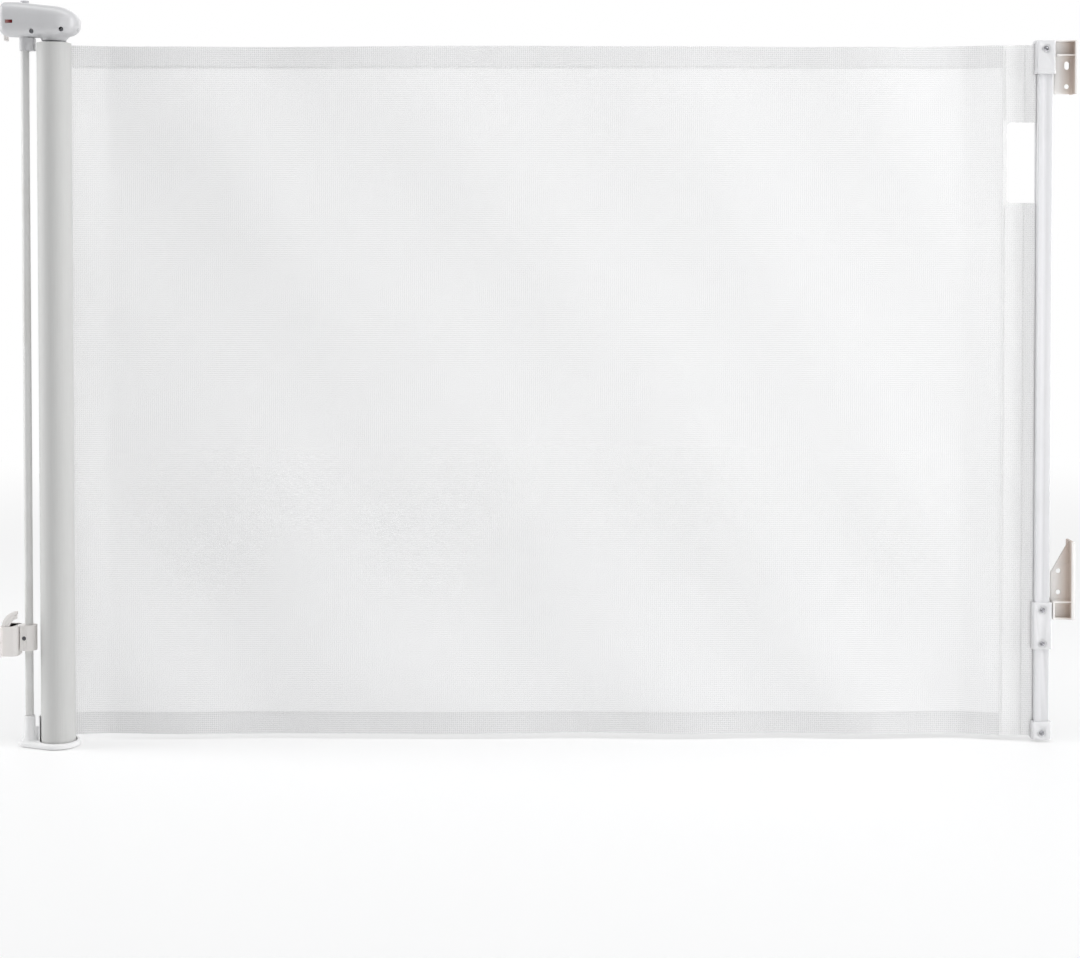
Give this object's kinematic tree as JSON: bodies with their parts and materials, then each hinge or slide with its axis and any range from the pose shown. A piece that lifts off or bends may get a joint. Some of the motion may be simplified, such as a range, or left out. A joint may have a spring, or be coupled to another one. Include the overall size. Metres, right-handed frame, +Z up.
{
  "type": "retractable safety gate",
  "caption": "Retractable mesh safety gate: a sprung roller with locking head at one wall, and an end bar that hooks into brackets on the other.",
  "frame": {"origin": "on the floor, at the middle of the gate's width and depth", "axes": "+X along the opening from the roller to the hooked end bar, +Y from the room towards the far side, +Z up"},
  "size_m": [1.32, 0.0628, 0.9125],
  "materials": {
    "bracket_plastic": "moulded, satin, warm white",
    "head_plastic": "moulded, satin grey-white",
    "white_plastic": "moulded, satin white",
    "button_plastic": "moulded, satin light grey",
    "works_plastic": "moulded acetal, dark grey",
    "bush_plastic": "moulded acetal, natural",
    "red_plastic": "moulded, red",
    "screw_steel": "zinc plated",
    "dark_steel": "blackened",
    "spring_steel": "spring wire, oiled",
    "painted_rod": "powder coated, light grey-white",
    "painted_bar": "powder coated, white",
    "tube_aluminium": "mill finish",
    "pad_rubber": "soft grey rubber",
    "mesh_cloth": "ribbed see-through polyester mesh, white",
    "hem_cloth": "the same mesh folded double and sewn"
  },
  "bodies": {
    "wall_brackets": {"left_upper_wall_bracket": "bracket_plastic", "left_lower_wall_bracket": "bracket_plastic", "right_upper_wall_bracket": "bracket_plastic", "right_lower_wall_bracket": "bracket_plastic"},
    "roller_unit": {"head_front_shell": "head_plastic", "head_back_shell": "head_plastic", "head_screws": "screw_steel", "upper_rod_socket": "head_plastic", "guide_rod": "painted_rod", "base_foot": "white_plastic", "foot_pad": "pad_rubber", "rod_clamp": "bracket_plastic", "rod_clamp_screw": "dark_steel", "spring_arbor": "screw_steel", "stem_bush": "bush_plastic", "pawl_pin": "screw_steel", "button_spring": "spring_steel", "mesh_panel": "mesh_cloth", "top_hem": "hem_cloth", "bottom_hem": "hem_cloth"},
    "roller": {"roller_tube": "tube_aluminium", "upper_hub": "works_plastic", "lower_hub": "works_plastic", "ratchet_wheel": "works_plastic", "torsion_spring": "spring_steel", "wound_mesh": "mesh_cloth"},
    "mesh_edge": {"end_strip": "hem_cloth"},
    "hook_bar": {"strip_spline": "white_plastic", "end_bar": "painted_bar", "top_cap": "white_plastic", "middle_connector": "white_plastic", "bottom_cap": "white_plastic", "bar_screws": "screw_steel"},
    "lock_button": {"lock_button": "button_plastic"},
    "pawl": {"pawl": "works_plastic"},
    "lock_indicator": {"lock_indicator": "red_plastic"}
  },
  "joints": [
    {"name": "gate_lift_off", "type": "slide", "parent": "wall_brackets", "child": "roller_unit", "axis": [0, 0, 1], "range_m": [0, 0.03]},
    {"name": "end_bar_travel", "type": "slide", "parent": "roller_unit", "child": "mesh_edge", "axis": [1, 0, 0], "range_m": [-1.14, 0], "deforming": ["mesh_panel", "top_hem", "bottom_hem"]},
    {"name": "end_bar_lift", "type": "slide", "parent": "mesh_edge", "child": "hook_bar", "axis": [0, 0, 1], "range_m": [0, 0.014]},
    {"name": "roller_spin", "type": "hinge", "parent": "roller_unit", "child": "roller", "pos_m": [-0.5913, -0.00462, 0], "axis": [0, 0, 1], "range_deg": [-2, 3062], "deforming": ["torsion_spring"]},
    {"name": "lock_button_press", "type": "slide", "parent": "roller_unit", "child": "lock_button", "axis": [0, 0, -1], "range_m": [0, 0.0045], "stiffness_N_per_m": 400, "springref_m": -0.003, "deforming": ["button_spring"]},
    {"name": "pawl_swing", "type": "hinge", "parent": "roller_unit", "child": "pawl", "pos_m": [-0.606, -0.01862, 0.885], "axis": [0, 0, 1], "range_deg": [-13.2, 0.2]},
    {"name": "indicator_slide", "type": "slide", "parent": "roller_unit", "child": "lock_indicator", "axis": [1, 0, 0], "range_m": [-0.0002, 0.0092]}
  ],
  "couplings": [
    {"joint": "roller_spin", "follows": "end_bar_travel", "rad_per_m": -46.848},
    {"joint": "pawl_swing", "follows": "lock_button_press", "rad_per_m": -50.4},
    {"joint": "indicator_slide", "follows": "lock_button_press", "ratio": 2}
  ]
}
